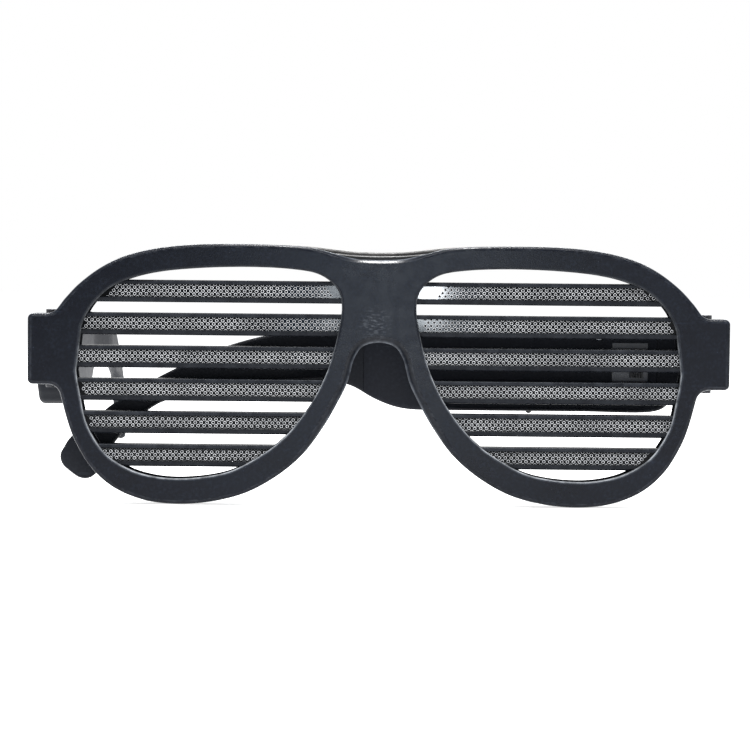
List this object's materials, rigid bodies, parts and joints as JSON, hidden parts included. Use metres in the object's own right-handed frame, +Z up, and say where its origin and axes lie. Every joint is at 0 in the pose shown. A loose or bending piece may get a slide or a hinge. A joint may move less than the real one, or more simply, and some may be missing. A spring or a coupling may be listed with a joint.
{
  "type": "led glasses",
  "caption": "Aviator-shaped party glasses with louvre light bars across each eye and folding temples that hold the battery, a power slider and a mode button.",
  "frame": {"origin": "where the lens mid-height line meets the middle plane on the frame's front face", "axes": "+X to the right seen from the front, +Y back towards the ears, +Z up"},
  "size_m": [0.16, 0.1642, 0.0594],
  "materials": {
    "front_plastic": "glossy moulded black, slightly blue",
    "rear_plastic": "satin moulded black",
    "bar_plastic": "glossy moulded black",
    "temple_plastic": "satin moulded black",
    "cover_plastic": "satin moulded black",
    "control_plastic": "matte black with ridges",
    "clear_plastic": "clear plastic with moulded lenslets",
    "board": "green circuit board",
    "led_package": "white package with pale yellow filling",
    "flex_film": "amber film",
    "screw_steel": "dark plated steel",
    "pin_metal": "blackened steel",
    "switch_metal": "tinned metal can",
    "socket_metal": "tinned metal shell",
    "battery_wrap": "silver pouch",
    "foam": "black foam"
  },
  "bodies": {
    "frame": {"front_frame": "front_plastic", "rear_frame": "rear_plastic", "frame_screws": "screw_steel", "rim_flex": "flex_film", "light_bar_left_1": "bar_plastic", "light_bar_left_2": "bar_plastic", "light_bar_left_3": "bar_plastic", "light_bar_left_4": "bar_plastic", "light_bar_left_5": "bar_plastic", "light_bar_left_6": "bar_plastic", "light_bar_right_1": "bar_plastic", "light_bar_right_2": "bar_plastic", "light_bar_right_3": "bar_plastic", "light_bar_right_4": "bar_plastic", "light_bar_right_5": "bar_plastic", "light_bar_right_6": "bar_plastic", "clear_strip_left_1": "clear_plastic", "clear_strip_left_2": "clear_plastic", "clear_strip_left_3": "clear_plastic", "clear_strip_left_4": "clear_plastic", "clear_strip_left_5": "clear_plastic", "clear_strip_left_6": "clear_plastic", "clear_strip_right_1": "clear_plastic", "clear_strip_right_2": "clear_plastic", "clear_strip_right_3": "clear_plastic", "clear_strip_right_4": "clear_plastic", "clear_strip_right_5": "clear_plastic", "clear_strip_right_6": "clear_plastic", "led_board_left": "board", "led_board_right": "board", "leds_left": "led_package", "leds_right": "led_package", "hinge_block_left": "rear_plastic", "hinge_block_right": "rear_plastic", "hinge_pin_left": "pin_metal", "hinge_pin_right": "pin_metal"},
    "temple_right": {"temple_right_shell": "temple_plastic", "temple_right_cover": "cover_plastic", "temple_right_screws": "screw_steel", "control_board": "board", "power_switch": "switch_metal", "mode_switch": "switch_metal", "charging_socket": "socket_metal"},
    "temple_left": {"temple_left_shell": "temple_plastic", "temple_left_cover": "cover_plastic", "temple_left_screws": "screw_steel", "battery": "battery_wrap", "battery_pad": "foam"},
    "power_slider": {"power_slider": "control_plastic"},
    "mode_button": {"mode_button": "control_plastic"}
  },
  "joints": [
    {"name": "temple_right_fold", "type": "hinge", "parent": "frame", "child": "temple_right", "pos_m": [0.076, 0.0148, 0], "axis": [0, 0, -1], "range_deg": [0, 90]},
    {"name": "temple_left_fold", "type": "hinge", "parent": "frame", "child": "temple_left", "pos_m": [-0.076, 0.0148, 0], "axis": [0, 0, 1], "range_deg": [-84, 0]},
    {"name": "power_slide", "type": "slide", "parent": "temple_right", "child": "power_slider", "axis": [-1, 0, 0], "range_m": [0, 0.0028]},
    {"name": "mode_press", "type": "slide", "parent": "temple_right", "child": "mode_button", "axis": [0, 0, 1], "range_m": [0, 0.0004], "stiffness_N_per_m": 400, "springref_m": -0.0005}
  ]
}
